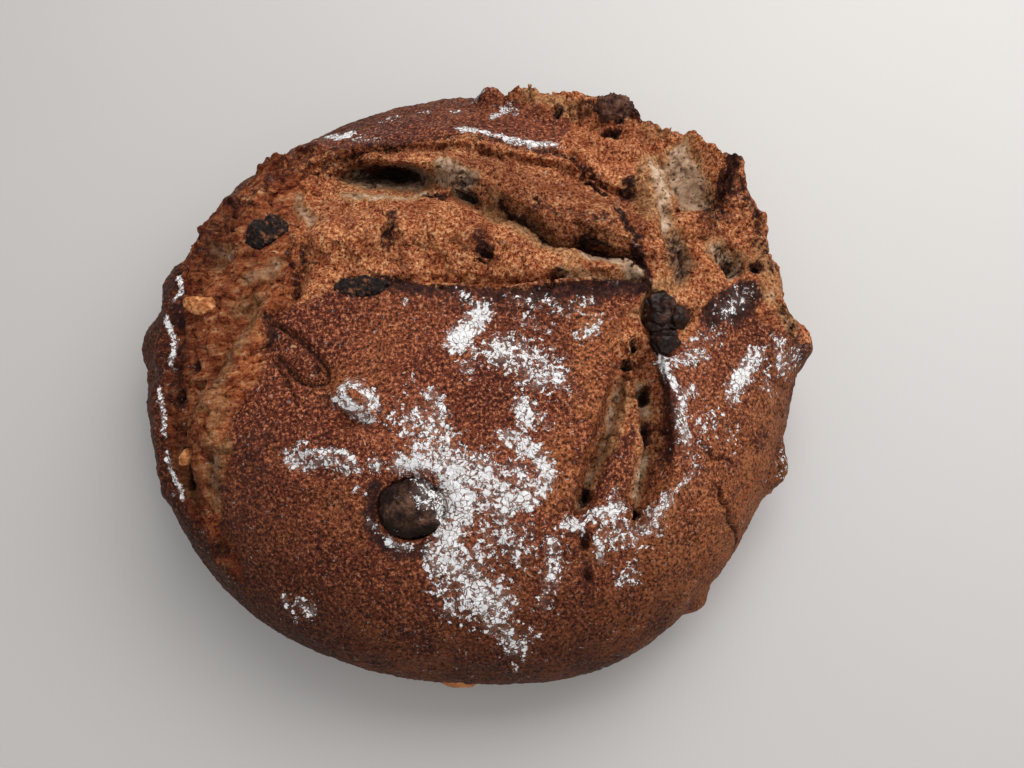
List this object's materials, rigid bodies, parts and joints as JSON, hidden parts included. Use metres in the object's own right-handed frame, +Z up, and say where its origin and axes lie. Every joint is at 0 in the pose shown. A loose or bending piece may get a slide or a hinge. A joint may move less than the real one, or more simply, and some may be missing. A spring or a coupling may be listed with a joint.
{
  "type": "raisin and nut bread loaf",
  "caption": "Round rustic bread baked with raisins and nuts: a low dome that burst along its seams, with smooth floured skin in front and craggy torn crumb behind; a loaf to slice and eat.",
  "frame": {"origin": "centre of the loaf's box, on the table under its flat base", "axes": "+Z up; -Y is the front, where the smooth floured skin is; +Y is the back, where the crumb stands in crags; +X is the viewer's right in the picture"},
  "size_m": [0.2374, 0.2252, 0.0838],
  "materials": {
    "crust": "matt browned crust with torn crumb and white flour",
    "raisin": "slightly glossy wrinkled dried fruit skin",
    "nut": "matt roasted nut",
    "flour": "dry white flour, cracked where it lies thick"
  },
  "bodies": {
    "root": {"loaf": "crust", "raisin_left": "raisin", "raisin_ledge": "raisin", "raisin_right_large": "raisin", "raisin_right_small": "raisin", "raisin_right_low": "raisin", "raisin_back": "raisin", "nut_front": "nut", "nut_left": "nut", "nut_side": "nut", "almond_front": "nut"}
  },
  "joints": []
}
